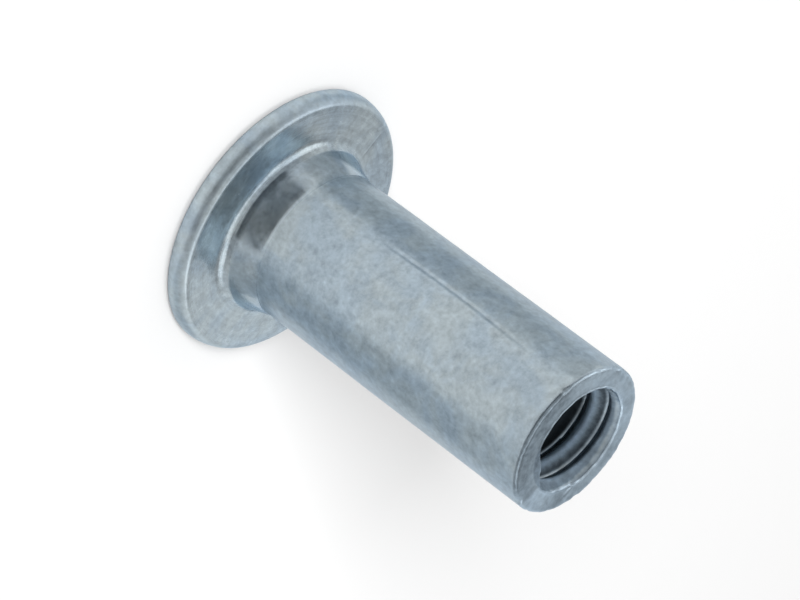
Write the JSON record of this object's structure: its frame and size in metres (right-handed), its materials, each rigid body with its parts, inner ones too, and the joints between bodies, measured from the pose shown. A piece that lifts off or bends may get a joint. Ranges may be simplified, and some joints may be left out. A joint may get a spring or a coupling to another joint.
{
  "type": "rivet nut",
  "caption": "Blind rivet nut: a round flange, a short tapered neck and a plain open-ended barrel, threaded inside at its far end.",
  "frame": {"origin": "centre of the flange's flat outer face, which the part stands on", "axes": "+Z along the barrel, from the flange to the threaded end"},
  "size_m": [0.007, 0.007, 0.0102],
  "materials": {
    "zinc_plate": "clear zinc plate on steel, satin and slightly cloudy"
  },
  "bodies": {
    "root": {"rivet_nut": "zinc_plate"}
  },
  "joints": []
}
